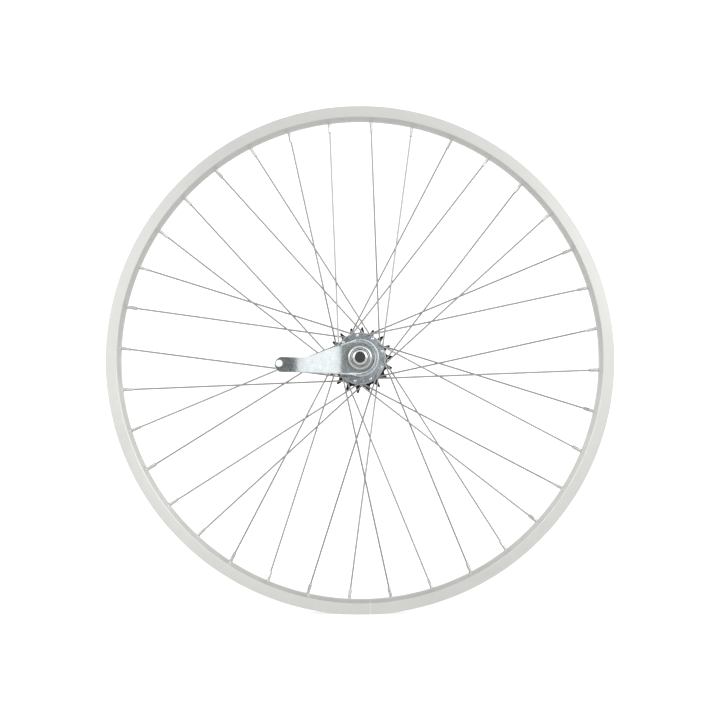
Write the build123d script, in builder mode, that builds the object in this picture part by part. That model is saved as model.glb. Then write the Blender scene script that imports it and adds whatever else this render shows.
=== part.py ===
"""Rear bicycle wheel, ISO 590, with a back-pedal (coaster) brake hub and 36 spokes laced three-cross.

Frame: millimetres, origin on the axle in the rim's mid-plane, +Z up, wheel axis along Y.
-Y is the wheel's left side, with the brake arm, and +Y the drive side, with the sprocket.
-X is the front of the bicycle, where the brake arm points.
"""

from build123d import *
from math import atan2, cos, radians, sin, tan
import os

# ---------------------------------------------------------------- driving dimensions
# Rim
bead_seat_radius = 295.0
rim_edge_height = 6.0  # from the bead seat to the rim's edge
rim_face_height = 13.0  # flat side wall
rim_depth = 16.5  # edge to spoke bed
rim_width = 25.0
rim_face_lean = 0.7  # how far each side wall closes in towards the hub
rim_wall = 1.7
hook_reach = 0.7
well_half_width = 6.5
bed_half_width = 4.5
nipple_stagger = 1.2  # rim holes alternate this far either side of the mid-plane
valve_hole_radius = 4.25
valve_angle = 92.4  # from +X towards +Z

# Spokes and nipples. Wire, nipples and their holes are hexagonal, which keeps so many copies light.
wire_sides = 6
spoke_count = 36
crossings = 3
spoke_radius = 1.0
spoke_head_radius = 1.9
spoke_head_height = 1.1
spoke_hole_clearance = 0.3
spoke_gap = 0.1  # between spokes where they lie on each other
elbow_gap = 0.35  # between an elbow and its flange
elbow_size = 1.0
nipple_radius = 2.0
nipple_square = 3.4
nipple_square_length = 6.5
nipple_reach = 11.9  # what shows inside the rim
nipple_head_radius = 3.1
nipple_head_height = 2.1
nipple_clearance = 0.15
nipple_seat_gap = 0.5  # room for the tilt of a nipple on its flat seat
edge_widths_to_clear = 3  # an outer spoke lies along its flange for this many widths of the flange's edge

# Axle and fixed hardware
axle_radius = 4.7625  # 3/8 inch
axle_overhang = 21.0  # on each side, outside the faces that the frame clamps
axle_chamfer = 0.8
thread_clearance = 0.03
over_locknut_width = 110.0
cap_wall = 1.35
cap_cover = 12.0
cap_end = 1.0
arm_washer_height = 6.0
arm_washer_radius = 13.8
arm_washer_land = 2.5  # flat face that a dropout bears on
arm_washer_dish = 2.6
lock_nut_radius = 9.3
lock_nut_top_radius = 6.2
lock_nut_gap = 0.2
lock_nut_recess = 0.1  # how far the domed nut stays below the washer's land
lock_nut_shoulder = 3.6
nut_across_flats = 17.0
nut_height = 5.0

# Hub shell
flange_offset = 29.5  # flange centre from the mid-plane
flange_thickness = 2.4
flange_radius = 30.3
spoke_circle_radius = 27.0
shell_half_length = 36.0
collar_radius = 20.6
barrel_radius = 19.4
drum_radius = 17.0  # bore that the shoes rub on
mouth_radius = 18.4
mouth_depth = 8.0
seat_left_y = 5.0  # where the drum bore turns into the clutch's seat
seat_right_y = 20.0

# Brake and drive train
shoe_gap = 0.5  # shoe to drum, at rest
shoe_slot = 7.0  # between the two shoes
shoe_left_y = -23.0
shoe_right_y = 2.6
taper_slope = 0.2
cone_gap = 0.5  # radial, shoe to its cones, at rest
shoe_bore_radius = 11.2
brake_cone_radius = 12.9
brake_cone_step_y = -26.0
brake_cone_tip_y = -15.0
brake_cone_neck = 10.4
cone_key_width = 5.4
cone_key_radius = 15.4
clutch_left_y = -7.0
clutch_right_y = 18.0
clutch_nose_radius = 10.2
clutch_seat_gap = 0.7  # clutch to the shell's seat, at rest
screw_radius = 8.8
screw_left_y = -3.0
screw_clearance = 0.3
axle_running_clearance = 0.6
driver_neck_radius = 12.6
driver_neck_y = 20.6
driver_shoulder_y = 31.0
driver_right_y = 45.4
sprocket_seat_radius = 16.4
cup_radius = 11.8
cup_left_y = 36.4
labyrinth_gap = 0.4  # between a dust shield and the bore that it turns in
dust_cap_radius = 13.2
dust_cap_left_y = -38.6
dust_cap_thickness = 4.6
right_cone_nose_radius = 7.0
right_cone_nose_y = 37.4
right_cone_shield = 1.2
right_cone_across_flats = 15.0

# Sprocket for a 1/2 inch chain
sprocket_teeth = 18
chain_pitch = 12.7
roller_seat_radius = 4.0
sprocket_thickness = 2.9
chain_line = 41.0
tooth_tip_radius = 40.5
tooth_flank = 25.5  # half the angle at which the gap between two teeth opens
tooth_angle = 6.1
lug_count = 3
lug_depth = 1.5
lug_width = 5.0
seat_clearance = 0.05
lug_clearance = 0.1
snap_ring_thickness = 1.2
snap_ring_radius = 17.6
snap_ring_gap = 5.0

# Brake arm: a pressed steel plate
arm_thickness = 2.4
arm_head_radius = 21.7
arm_lip_radius = 18.2  # inside of the raised lip round the head
arm_lip_height = 3.4
arm_lip_fade = 2.0  # in front of the axle, where the lip starts to run down to the plate
arm_floor_radius = 15.6
arm_blade_start = 20.0  # from the axle to the first bend
arm_blade_end = 77.0
arm_joggle = 4.5  # how far the tip lies nearer to the frame than the floor of the head
arm_tip_radius = 9.1
arm_tip_reach = 89.8
arm_tip_drop = 8.0
arm_hole_reach = 93.5
arm_hole_drop = 6.5
arm_hole_radius = 3.5
arm_neck_reach = 63.0
arm_neck_top = 0.4
arm_neck_bottom = 17.4
arm_neck_bend = 30.0  # radius of the curve where the blade narrows into its tip
arm_shoulder_top = 115.0  # where the blade's edges leave the head, from +X towards +Z
arm_shoulder_bottom = 250.0
arm_square = 15.0
arm_fit = 0.15

# Modelling
overcut = 1.5  # how far a cut runs past the surfaces that it cuts

# ---------------------------------------------------------------- what follows from them
LEFT, RIGHT = -1, 1
OUTER, INNER = 1, -1  # the side of its flange that a spoke's elbow lies on
spoke_groups = [(side, lay) for side in (LEFT, RIGHT) for lay in (OUTER, INNER)]
rim_edge_radius = bead_seat_radius + rim_edge_height
rim_bed_radius = rim_edge_radius - rim_depth
rim_corner_radius = rim_edge_radius - rim_face_height
rim_half_width = rim_width / 2
rim_step = 360 / spoke_count
hole_step = 2 * rim_step  # between neighbouring holes of one flange
lacing_angle = crossings * hole_step  # from a spoke's hub hole to its rim hole
group_size = spoke_count // 4
lock_face = over_locknut_width / 2
axle_length = over_locknut_width + 2 * axle_overhang
axle_bore = axle_radius + thread_clearance
floor_face = arm_washer_height - lock_face  # outer face of the brake arm's floor
seat_taper = taper_slope * (seat_right_y - seat_left_y)
pitch_radius = chain_pitch / 2 / sin(radians(180 / sprocket_teeth))
sprocket_left = chain_line - sprocket_thickness / 2
sprocket_right = chain_line + sprocket_thickness / 2


def at(radius, angle, y=0.0):
    """A point by its radius and its angle from +X towards +Z, in the plane at y."""
    return Vector(radius * cos(radians(angle)), y, radius * sin(radians(angle)))


def turned(angles):
    """Places that turn a piece about the axle, from +X towards +Z."""
    return Locations(*[Location((0, 0, 0), (0, -angle, 0)) for angle in angles])


def every(count):
    return [360 * i / count for i in range(count)]


def across(y):
    """The plane across the axle at y. Its X is +X, its Y is +Z, and it looks along -Y."""
    return Plane.XZ.offset(-y)


def wheel_of(*profile):
    """Turn a closed profile of (radius, y) points about the axle."""
    with BuildSketch(Plane.XY) as section:
        with BuildLine():
            Polyline(*profile, close=True)
        make_face()
    revolve(section.sketch, axis=Axis.Y)


def drill(start, direction, radius, length):
    """A cutter for the passage of a wire or a nipple."""
    with BuildPart() as bit:
        with BuildSketch(Plane(origin=start, z_dir=direction)):
            RegularPolygon(radius, wire_sides)
        extrude(amount=length)
    return bit.part


def save(piece, name):
    piece.part.label = name
    export_step(piece.part, f"parts/{name}.step")


os.makedirs("parts", exist_ok=True)

# ---------------------------------------------------------------- where each spoke runs


def rim_angle(side, lay):
    """The first rim hole of a group of spokes, counted from the valve hole."""
    steps = {(RIGHT, INNER): -0.5, (LEFT, OUTER): 0.5, (RIGHT, OUTER): 1.5, (LEFT, INNER): 2.5}
    return valve_angle + steps[side, lay] * rim_step


def hub_angle(side, lay):
    return rim_angle(side, lay) + lay * lacing_angle


def rim_point(side, lay):
    return at(rim_bed_radius, rim_angle(side, lay), side * nipple_stagger)


def crossing_point(side, lay):
    """Where a spoke passes its last neighbour: an outer spoke passes on the inside of an inner one."""
    half_turn = radians((crossings - 0.5) * hole_step)
    rest = radians(lacing_angle) - half_turn
    hub_share = spoke_circle_radius * sin(half_turn)
    share = hub_share / (hub_share + rim_bed_radius * sin(rest))
    hub = at(spoke_circle_radius, hub_angle(side, lay), side * flange_offset)
    on_line = hub + (rim_point(side, lay) - hub) * share
    return on_line - Vector(0, side * lay * (spoke_radius + spoke_gap), 0)


def nipple_direction(side, lay):
    return (rim_point(side, lay) - crossing_point(side, lay)).normalized()


def nipple_mouth(side, lay):
    return rim_point(side, lay) - nipple_direction(side, lay) * nipple_reach


def spoke_path(side, lay):
    """Points of a spoke from under its head, round the elbow and its crossing, to its nipple."""
    elbow_side = side * lay
    angle = hub_angle(side, lay)
    half_flange = flange_thickness / 2
    run_offset = half_flange + elbow_gap + spoke_radius
    flange_y = side * flange_offset
    crossing = crossing_point(side, lay)
    head = at(spoke_circle_radius, angle, flange_y - elbow_side * half_flange)
    bend = at(spoke_circle_radius, angle, flange_y + elbow_side * (run_offset - elbow_size))
    run_start = at(spoke_circle_radius, angle, flange_y + elbow_side * run_offset)
    along = (Vector(crossing.X, run_start.Y, crossing.Z) - run_start).normalized()
    points = [head, bend, run_start + along * elbow_size]
    if lay == OUTER:
        # it lies along its flange until it is past the flange's edge
        flange_edge = flange_radius - spoke_circle_radius
        points.append(run_start + along * flange_edge * edge_widths_to_clear)
    return points + [crossing, nipple_mouth(side, lay)]


# ---------------------------------------------------------------- rim

nipple_passage = nipple_reach + rim_wall + 2 * overcut
nipple_drills = [
    drill(nipple_mouth(*group), nipple_direction(*group), nipple_radius + nipple_clearance, nipple_passage)
    for group in spoke_groups
]

with BuildPart() as rim:
    with BuildSketch(Plane.XY):
        with BuildLine():
            inner_face = rim_half_width - rim_wall
            Polyline(
                (rim_bed_radius, 0),
                (rim_bed_radius, bed_half_width),
                (rim_corner_radius, rim_half_width - rim_face_lean),
                (rim_edge_radius, rim_half_width),
                (rim_edge_radius, inner_face - hook_reach),
                (bead_seat_radius, inner_face),
                (rim_bed_radius + rim_wall, well_half_width),
                (rim_bed_radius + rim_wall, 0),
                close=True,
            )
        make_face()
        mirror(about=Plane.XZ)
    revolve(axis=Axis.Y)
    with turned(every(group_size)):
        add(nipple_drills, mode=Mode.SUBTRACT)
    with Locations(Plane(origin=at(rim_bed_radius, valve_angle), z_dir=at(1, valve_angle)).location):
        Cylinder(valve_hole_radius, 2 * (rim_wall + overcut), mode=Mode.SUBTRACT)
save(rim, "rim")

# ---------------------------------------------------------------- spokes and nipples


def spoke(side, lay):
    """A spoke: a bent wire with a head."""
    path = spoke_path(side, lay)
    start = Plane(origin=path[0], z_dir=(0, side * lay, 0))
    with BuildPart() as wire:
        with BuildLine():
            Polyline(*path)
        with BuildSketch(start):
            RegularPolygon(spoke_radius, wire_sides)
        sweep(transition=Transition.RIGHT)
        with BuildSketch(start):
            RegularPolygon(spoke_head_radius, wire_sides)
        extrude(amount=-spoke_head_height)
    return wire.part


def nipple(side, lay):
    """A nipple: a square body for the key, a shank through the rim and a head on the rim's bed."""
    mouth = Plane(origin=nipple_mouth(side, lay), z_dir=nipple_direction(side, lay))
    seat = nipple_reach + rim_wall + nipple_seat_gap
    with BuildPart() as body:
        with BuildSketch(mouth):
            Rectangle(nipple_square, nipple_square)
        extrude(amount=nipple_square_length)
        with BuildSketch(mouth.offset(nipple_square_length)):
            RegularPolygon(nipple_radius, wire_sides)
        extrude(amount=seat - nipple_square_length)
        with BuildSketch(mouth.offset(seat)):
            RegularPolygon(nipple_head_radius, wire_sides)
        extrude(amount=nipple_head_height)
    return body.part


for side, side_name in ((LEFT, "left"), (RIGHT, "right")):
    for lay, lay_name in ((OUTER, "outer"), (INNER, "inner")):
        first_spoke = spoke(side, lay)
        with BuildPart() as spokes:
            with turned(every(group_size)):
                add(first_spoke)
        save(spokes, f"spokes_{side_name}_{lay_name}")
    first_nipples = [nipple(side, lay) for lay in (OUTER, INNER)]
    with BuildPart() as nipples:
        with turned(every(group_size)):
            add(first_nipples)
    save(nipples, f"nipples_{side_name}")

# ---------------------------------------------------------------- hub shell

spoke_drills = [
    drill(
        at(spoke_circle_radius, hub_angle(side, lay), side * (flange_offset - flange_thickness)),
        (0, side, 0),
        spoke_radius + spoke_hole_clearance,
        2 * flange_thickness,
    )
    for side, lay in spoke_groups
]

with BuildPart() as hub_shell:
    mouth_y = shell_half_length - mouth_depth
    flange_out = flange_offset + flange_thickness / 2
    flange_in = flange_offset - flange_thickness / 2
    wheel_of(
        (mouth_radius, -shell_half_length),
        (collar_radius, -shell_half_length),
        (collar_radius, -flange_out),
        (flange_radius, -flange_out),
        (flange_radius, -flange_in),
        (barrel_radius, -flange_in),
        (barrel_radius, flange_in),
        (flange_radius, flange_in),
        (flange_radius, flange_out),
        (collar_radius, flange_out),
        (collar_radius, shell_half_length),
        (mouth_radius, shell_half_length),
        (mouth_radius, seat_right_y),
        (drum_radius - seat_taper, seat_right_y),
        (drum_radius, seat_left_y),
        (drum_radius, -mouth_y),
        (mouth_radius, -mouth_y),
    )
    with turned(every(group_size)):
        add(spoke_drills, mode=Mode.SUBTRACT)
save(hub_shell, "hub_shell")

# ---------------------------------------------------------------- axle and what is fixed to it

with BuildPart() as axle:
    with BuildSketch(across(-axle_length / 2)):
        Circle(axle_radius)
    extrude(amount=-axle_length)
    chamfer(axle.edges().filter_by(GeomType.CIRCLE), axle_chamfer)
save(axle, "axle")

with BuildPart() as axle_caps:
    cap_start = axle_length / 2 + cap_end
    for side in (LEFT, RIGHT):
        with BuildSketch(across(side * cap_start)):
            Circle(axle_radius + thread_clearance + cap_wall)
        extrude(amount=side * (cap_cover + cap_end))
        with BuildSketch(across(side * axle_length / 2)):
            Circle(axle_bore)
        extrude(amount=side * cap_cover, mode=Mode.SUBTRACT)
save(axle_caps, "axle_caps")

with BuildPart() as brake_cone:
    shoulder_y = floor_face + arm_thickness
    wheel_of(
        (axle_bore, shoulder_y),
        (dust_cap_radius, shoulder_y),
        (dust_cap_radius, dust_cap_left_y + dust_cap_thickness),
        (brake_cone_neck, dust_cap_left_y + dust_cap_thickness),
        (brake_cone_neck, brake_cone_step_y),
        (brake_cone_radius, brake_cone_step_y),
        (brake_cone_radius - taper_slope * (brake_cone_tip_y - brake_cone_step_y), brake_cone_tip_y),
        (axle_bore, brake_cone_tip_y),
    )
    with BuildSketch(across(shoulder_y)):
        Rectangle(arm_square, arm_square)
        Circle(axle_bore, mode=Mode.SUBTRACT)
    extrude(amount=arm_thickness - arm_fit)
    # two keys between the shoes keep them from turning with the wheel
    with BuildSketch(across(shoe_left_y)):
        Rectangle(2 * cone_key_radius, cone_key_width)
        Circle(axle_bore, mode=Mode.SUBTRACT)
    extrude(amount=shoe_left_y - brake_cone_tip_y)
save(brake_cone, "brake_cone")

with BuildPart() as dust_cap_left:
    cap_right_y = dust_cap_left_y + dust_cap_thickness
    wheel_of(
        (dust_cap_radius + seat_clearance, dust_cap_left_y),
        (mouth_radius - labyrinth_gap, dust_cap_left_y),
        (mouth_radius - labyrinth_gap, cap_right_y),
        (dust_cap_radius + seat_clearance, cap_right_y),
    )
save(dust_cap_left, "dust_cap_left")

with BuildPart() as arm_washer:
    inner_radius = lock_nut_radius + lock_nut_gap
    wheel_of(
        (inner_radius, floor_face),
        (arm_washer_radius, floor_face),
        (arm_washer_radius, -lock_face),
        (arm_washer_radius - arm_washer_land, -lock_face),
        (inner_radius, arm_washer_dish - lock_face),
    )
save(arm_washer, "arm_washer")

with BuildPart() as lock_nut_left:
    wheel_of(
        (axle_bore, floor_face),
        (lock_nut_radius, floor_face),
        (lock_nut_radius, floor_face - lock_nut_shoulder),
        (lock_nut_top_radius, lock_nut_recess - lock_face),
        (axle_bore, lock_nut_recess - lock_face),
    )
save(lock_nut_left, "lock_nut_left")

with BuildPart() as right_cone:
    shield_radius = cup_radius - labyrinth_gap
    wheel_of(
        (axle_bore, right_cone_nose_y),
        (right_cone_nose_radius, right_cone_nose_y),
        (shield_radius, driver_right_y - right_cone_shield),
        (shield_radius, driver_right_y),
        (axle_bore, driver_right_y),
    )
    with BuildSketch(across(driver_right_y)):
        RegularPolygon(right_cone_across_flats / 2, 6, major_radius=False)
        Circle(axle_bore, mode=Mode.SUBTRACT)
    extrude(amount=driver_right_y + nut_height - lock_face)
save(right_cone, "right_cone")

with BuildPart() as lock_nut_right:
    with BuildSketch(across(lock_face)):
        RegularPolygon(nut_across_flats / 2, 6, major_radius=False)
        Circle(axle_bore, mode=Mode.SUBTRACT)
    extrude(amount=nut_height)
save(lock_nut_right, "lock_nut_right")

# ---------------------------------------------------------------- brake arm

lip_face = floor_face - arm_lip_height
tip_face = floor_face - arm_joggle
lip_end = arm_floor_radius - overcut
above = 2 * arm_head_radius  # clear of the whole plate

with BuildPart() as arm_lip:
    wheel_of(
        (arm_floor_radius, floor_face),
        (arm_lip_radius, lip_face),
        (arm_head_radius, lip_face),
        (arm_head_radius, floor_face),
    )
    # it runs down to the plate where the blade's edges leave the head
    with BuildSketch(Plane.XY.offset(above)):
        with BuildLine():
            Polyline(
                (-arm_lip_fade, lip_face - overcut),
                (-arm_lip_fade, lip_face),
                (-lip_end, floor_face),
                (-lip_end, floor_face + overcut),
                (-arm_head_radius - overcut, floor_face + overcut),
                (-arm_head_radius - overcut, lip_face - overcut),
                close=True,
            )
        make_face()
    extrude(amount=-2 * above, mode=Mode.SUBTRACT)

with BuildPart() as lip_hollow:
    # the press leaves the lip hollow behind, with the plate's thickness on its slope
    lip_slope = atan2(arm_lip_height, arm_lip_radius - arm_floor_radius)
    behind_bend = arm_thickness * tan(lip_slope / 2)
    wheel_of(
        (arm_floor_radius + behind_bend, floor_face + arm_thickness + overcut),
        (arm_floor_radius + behind_bend, floor_face + arm_thickness),
        (arm_lip_radius + behind_bend, lip_face + arm_thickness),
        (arm_head_radius + overcut, lip_face + arm_thickness),
        (arm_head_radius + overcut, floor_face + arm_thickness + overcut),
    )
    split(bisect_by=Plane.YZ)

with BuildPart() as brake_arm:
    # the plate's bends, seen from above
    with BuildSketch(Plane.XY.offset(above)):
        with BuildLine():
            Polyline(
                (arm_head_radius, floor_face),
                (-arm_blade_start, floor_face),
                (-arm_blade_end, tip_face),
                (-arm_tip_reach - arm_tip_radius, tip_face),
                (-arm_tip_reach - arm_tip_radius, tip_face + arm_thickness),
                (-arm_blade_end, tip_face + arm_thickness),
                (-arm_blade_start, floor_face + arm_thickness),
                (arm_head_radius, floor_face + arm_thickness),
                close=True,
            )
        make_face()
    extrude(amount=-2 * above)
    # its outline, seen along the axle
    with BuildSketch(across(0)) as outline:
        Circle(arm_head_radius)
        with Locations((-arm_tip_reach, -arm_tip_drop)):
            Circle(arm_tip_radius)
        with BuildLine():
            head_top = at(arm_head_radius, arm_shoulder_top)
            head_bottom = at(arm_head_radius, arm_shoulder_bottom)
            FilletPolyline(
                (head_top.X, head_top.Z),
                (-arm_neck_reach, -arm_neck_top),
                (-arm_tip_reach, arm_tip_radius - arm_tip_drop),
                (-arm_tip_reach, -arm_tip_radius - arm_tip_drop),
                (-arm_neck_reach, -arm_neck_bottom),
                (head_bottom.X, head_bottom.Z),
                radius=[0, arm_neck_bend, 0, 0, arm_neck_bend, 0],
                close=True,
            )
        make_face()
        with Locations((-arm_hole_reach, -arm_hole_drop)):
            Circle(arm_hole_radius, mode=Mode.SUBTRACT)
    extrude(amount=lock_face, mode=Mode.INTERSECT)
    add(arm_lip.part)
    add(lip_hollow.part, mode=Mode.SUBTRACT)
    with BuildSketch(across(floor_face - overcut)):
        Rectangle(arm_square + arm_fit, arm_square + arm_fit)
    extrude(amount=-(arm_thickness + 2 * overcut), mode=Mode.SUBTRACT)
save(brake_arm, "brake_arm")

# ---------------------------------------------------------------- brake shoes and clutch

with BuildPart() as shoe_pair:
    cone_at_left = brake_cone_radius - taper_slope * (shoe_left_y - brake_cone_step_y)
    left_taper = (cone_at_left + cone_gap - shoe_bore_radius) / taper_slope
    nose_at_right = clutch_nose_radius + taper_slope * (shoe_right_y - clutch_left_y)
    right_taper = (nose_at_right + cone_gap - shoe_bore_radius) / taper_slope
    wheel_of(
        (cone_at_left + cone_gap, shoe_left_y),
        (drum_radius - shoe_gap, shoe_left_y),
        (drum_radius - shoe_gap, shoe_right_y),
        (nose_at_right + cone_gap, shoe_right_y),
        (shoe_bore_radius, shoe_right_y - right_taper),
        (shoe_bore_radius, shoe_left_y + left_taper),
    )
    Box(2 * drum_radius, 4 * drum_radius, shoe_slot, mode=Mode.SUBTRACT)
for name, shoe_half in (("brake_shoe_top", Keep.TOP), ("brake_shoe_bottom", Keep.BOTTOM)):
    with BuildPart() as brake_shoe:
        add(shoe_pair.part)
        split(bisect_by=Plane.XY, keep=shoe_half)
    save(brake_shoe, name)

with BuildPart() as clutch:
    body_left = seat_left_y
    body_radius = drum_radius - clutch_seat_gap
    nose_top = clutch_nose_radius + taper_slope * (body_left - clutch_left_y)
    wheel_of(
        (screw_radius + screw_clearance, clutch_left_y),
        (clutch_nose_radius, clutch_left_y),
        (nose_top, body_left),
        (body_radius, body_left),
        (body_radius - taper_slope * (clutch_right_y - body_left), clutch_right_y),
        (screw_radius + screw_clearance, clutch_right_y),
    )
save(clutch, "clutch")

# ---------------------------------------------------------------- driver and sprocket

with BuildPart() as driver:
    driver_bore = axle_radius + axle_running_clearance
    wheel_of(
        (driver_bore, screw_left_y),
        (screw_radius, screw_left_y),
        (screw_radius, driver_neck_y),
        (driver_neck_radius, driver_neck_y),
        (driver_neck_radius, driver_shoulder_y),
        (mouth_radius - labyrinth_gap, driver_shoulder_y),
        (mouth_radius - labyrinth_gap, sprocket_left),
        (sprocket_seat_radius, sprocket_left),
        (sprocket_seat_radius, driver_right_y),
        (cup_radius, driver_right_y),
        (cup_radius, cup_left_y),
        (driver_bore, cup_left_y),
    )
    # slots for the sprocket's lugs
    with BuildSketch(across(sprocket_left)):
        with PolarLocations(sprocket_seat_radius, lug_count, start_angle=tooth_angle):
            Rectangle(2 * (lug_depth + lug_clearance), lug_width + 2 * lug_clearance)
    extrude(amount=sprocket_left - driver_right_y, mode=Mode.SUBTRACT)
save(driver, "driver")

with BuildPart() as sprocket:
    first_gap = tooth_angle + 180 / sprocket_teeth
    with BuildSketch(across(sprocket_left)):
        Circle(tooth_tip_radius)
        Circle(sprocket_seat_radius + seat_clearance, mode=Mode.SUBTRACT)
        with PolarLocations(pitch_radius, sprocket_teeth, start_angle=first_gap):
            Circle(roller_seat_radius, mode=Mode.SUBTRACT)
        # the flanks that open outwards from each roller's seat
        with BuildLine():
            flank = radians(tooth_flank)
            seat_x = pitch_radius - roller_seat_radius * sin(flank)
            seat_half = roller_seat_radius * cos(flank)
            mouth_x = tooth_tip_radius + overcut
            mouth_half = seat_half + (mouth_x - seat_x) * tan(flank)
            Polyline(
                (seat_x, seat_half),
                (mouth_x, mouth_half),
                (mouth_x, -mouth_half),
                (seat_x, -seat_half),
                close=True,
            )
        gap_face = make_face(mode=Mode.PRIVATE)
        with PolarLocations(0, sprocket_teeth, start_angle=first_gap):
            add(gap_face, mode=Mode.SUBTRACT)
        with PolarLocations(sprocket_seat_radius, lug_count, start_angle=tooth_angle):
            Rectangle(2 * lug_depth, lug_width)
    extrude(amount=-sprocket_thickness)
save(sprocket, "sprocket")

with BuildPart() as snap_ring:
    with BuildSketch(across(sprocket_right)):
        Circle(snap_ring_radius)
        Circle(sprocket_seat_radius + seat_clearance, mode=Mode.SUBTRACT)
        with Locations((0, -snap_ring_radius)):
            Rectangle(snap_ring_gap, snap_ring_radius, mode=Mode.SUBTRACT)
    extrude(amount=-snap_ring_thickness)
save(snap_ring, "snap_ring")
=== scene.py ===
"""A bicycle's rear wheel with a back-pedal brake hub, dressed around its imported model.

Metres, +Z up, the wheel's axis along Y. -Y is the side of the brake arm, +Y the side of the sprocket.
"""

from math import atan2, ceil, cos, degrees, hypot, pi, radians, sin, sqrt, tan

import bmesh
import bpy
from mathutils import Matrix, Vector
from mathutils.geometry import delaunay_2d_cdt
from mathutils.kdtree import KDTree


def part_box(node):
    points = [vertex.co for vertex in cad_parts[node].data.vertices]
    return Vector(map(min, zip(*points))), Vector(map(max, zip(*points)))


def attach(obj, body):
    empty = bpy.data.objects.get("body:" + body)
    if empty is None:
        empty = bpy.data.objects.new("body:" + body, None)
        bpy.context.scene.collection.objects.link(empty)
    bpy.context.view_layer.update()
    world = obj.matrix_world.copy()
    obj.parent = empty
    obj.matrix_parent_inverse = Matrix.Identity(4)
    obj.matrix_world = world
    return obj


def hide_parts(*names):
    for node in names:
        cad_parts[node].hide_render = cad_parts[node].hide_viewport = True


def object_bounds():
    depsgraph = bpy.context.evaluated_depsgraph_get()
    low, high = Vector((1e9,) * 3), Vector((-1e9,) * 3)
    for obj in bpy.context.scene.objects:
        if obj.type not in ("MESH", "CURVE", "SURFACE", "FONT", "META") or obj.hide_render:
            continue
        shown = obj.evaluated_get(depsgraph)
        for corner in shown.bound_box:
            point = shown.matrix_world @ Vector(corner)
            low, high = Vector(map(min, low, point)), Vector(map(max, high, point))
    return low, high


bl_info = {
    "name": "Coaster-brake wheel",
    "version": (1, 0, 0),
    "blender": (4, 5, 0),
    "location": "View3D > Sidebar > Wheel",
    "description": "Builds and finishes the pieces of a spoked wheel with a back-pedal brake hub",
    "category": "Object",
}

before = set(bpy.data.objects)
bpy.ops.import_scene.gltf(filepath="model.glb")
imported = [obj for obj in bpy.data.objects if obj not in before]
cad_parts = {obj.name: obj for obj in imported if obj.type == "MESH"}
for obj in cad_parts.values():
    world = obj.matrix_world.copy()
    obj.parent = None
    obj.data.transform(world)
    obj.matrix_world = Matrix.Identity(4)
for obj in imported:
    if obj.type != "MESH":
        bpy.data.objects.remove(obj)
CAD_BOX = [[float(value) for value in corner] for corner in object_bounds()]

MM = 0.001
LEFT, RIGHT = -1, 1
OUTER, INNER = 1, -1  # the side of its flange that a spoke's elbow lies on
SIDE_NAMES = {LEFT: "left", RIGHT: "right"}
LAY_NAMES = {OUTER: "outer", INNER: "inner"}
SPOKE_GROUPS = [(side, lay) for side in (LEFT, RIGHT) for lay in (OUTER, INNER)]

# ---------------------------------------------------------------- sizes and colours


def size(name, text, millimetres):
    return bpy.props.FloatProperty(
        name=name, description=text, default=millimetres * MM, unit="LENGTH", precision=5
    )


def turn(name, text, angle):
    return bpy.props.FloatProperty(
        name=name, description=text, default=radians(angle), subtype="ANGLE"
    )


def count(name, text, number):
    return bpy.props.IntProperty(name=name, description=text, default=number, min=1)


def share(name, text, value):
    return bpy.props.FloatProperty(name=name, description=text, default=value, subtype="FACTOR")


def colour(name, text, red, green, blue):
    return bpy.props.FloatVectorProperty(
        name=name, description=text, default=(red, green, blue), subtype="COLOR", min=0, max=1
    )


class WheelRimSizes(bpy.types.PropertyGroup):
    """Sizes of the rim."""

    edge_radius: size("Edge radius", "Outermost radius of the rim", 301)
    seat_radius: size("Bead seat radius", "Radius that the tyre's beads sit on", 295)
    corner_radius: size("Wall foot radius", "Radius where the side wall meets the spoke bed", 288)
    bed_radius: size("Bed radius", "Innermost radius, in the middle of the spoke bed", 284.5)
    half_width: size("Half width", "Half of the width over the rim's edges", 12.5)
    corner_half_width: size("Half width at the foot", "Half of the width at the foot of the walls", 11.8)
    wall: size("Wall", "Thickness of the walls and the bed", 1.7)
    joint_gap: size("Joint gap", "Width of the line where the rim's ends meet", 0.22)
    joint_angle: turn("Joint angle", "Where the rim's ends meet, from +X towards +Z", 272.4)
    valve_angle: turn("Valve angle", "Where the valve hole is, from +X towards +Z", 92.4)
    valve_radius: size("Valve hole radius", "Radius of the valve hole", 4.25)


class WheelSpokeSizes(bpy.types.PropertyGroup):
    """Sizes of the spokes and nipples."""

    spokes: count("Spokes", "Number of spokes", 36)
    crossings: count("Crossings", "Spokes of its flange that each spoke crosses", 3)
    radius: size("Spoke radius", "Radius of the wire", 1.0)
    head_radius: size("Head radius", "Radius of a spoke's head", 1.9)
    head_height: size("Head height", "Height of a spoke's head", 1.1)
    elbow_radius: size("Elbow radius", "Radius at the middle of the wire in an elbow", 2.0)
    gap: size("Spoke gap", "Gap between spokes where they lie on each other", 0.1)
    stagger: size("Stagger", "How far rim holes lie from the mid-plane", 1.2)
    nipple_reach: size("Nipple reach", "Length of nipple that shows inside the rim", 11.9)
    nipple_radius: size("Nipple radius", "Radius of a nipple's shank", 2.0)
    nipple_square: size("Nipple square", "Width across a nipple's flats", 3.5)
    nipple_head_radius: size("Nipple head radius", "Radius of a nipple's head", 3.1)
    nipple_seat_gap: size("Seat gap", "Room for the tilt of a nipple on its seat", 0.5)


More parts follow.
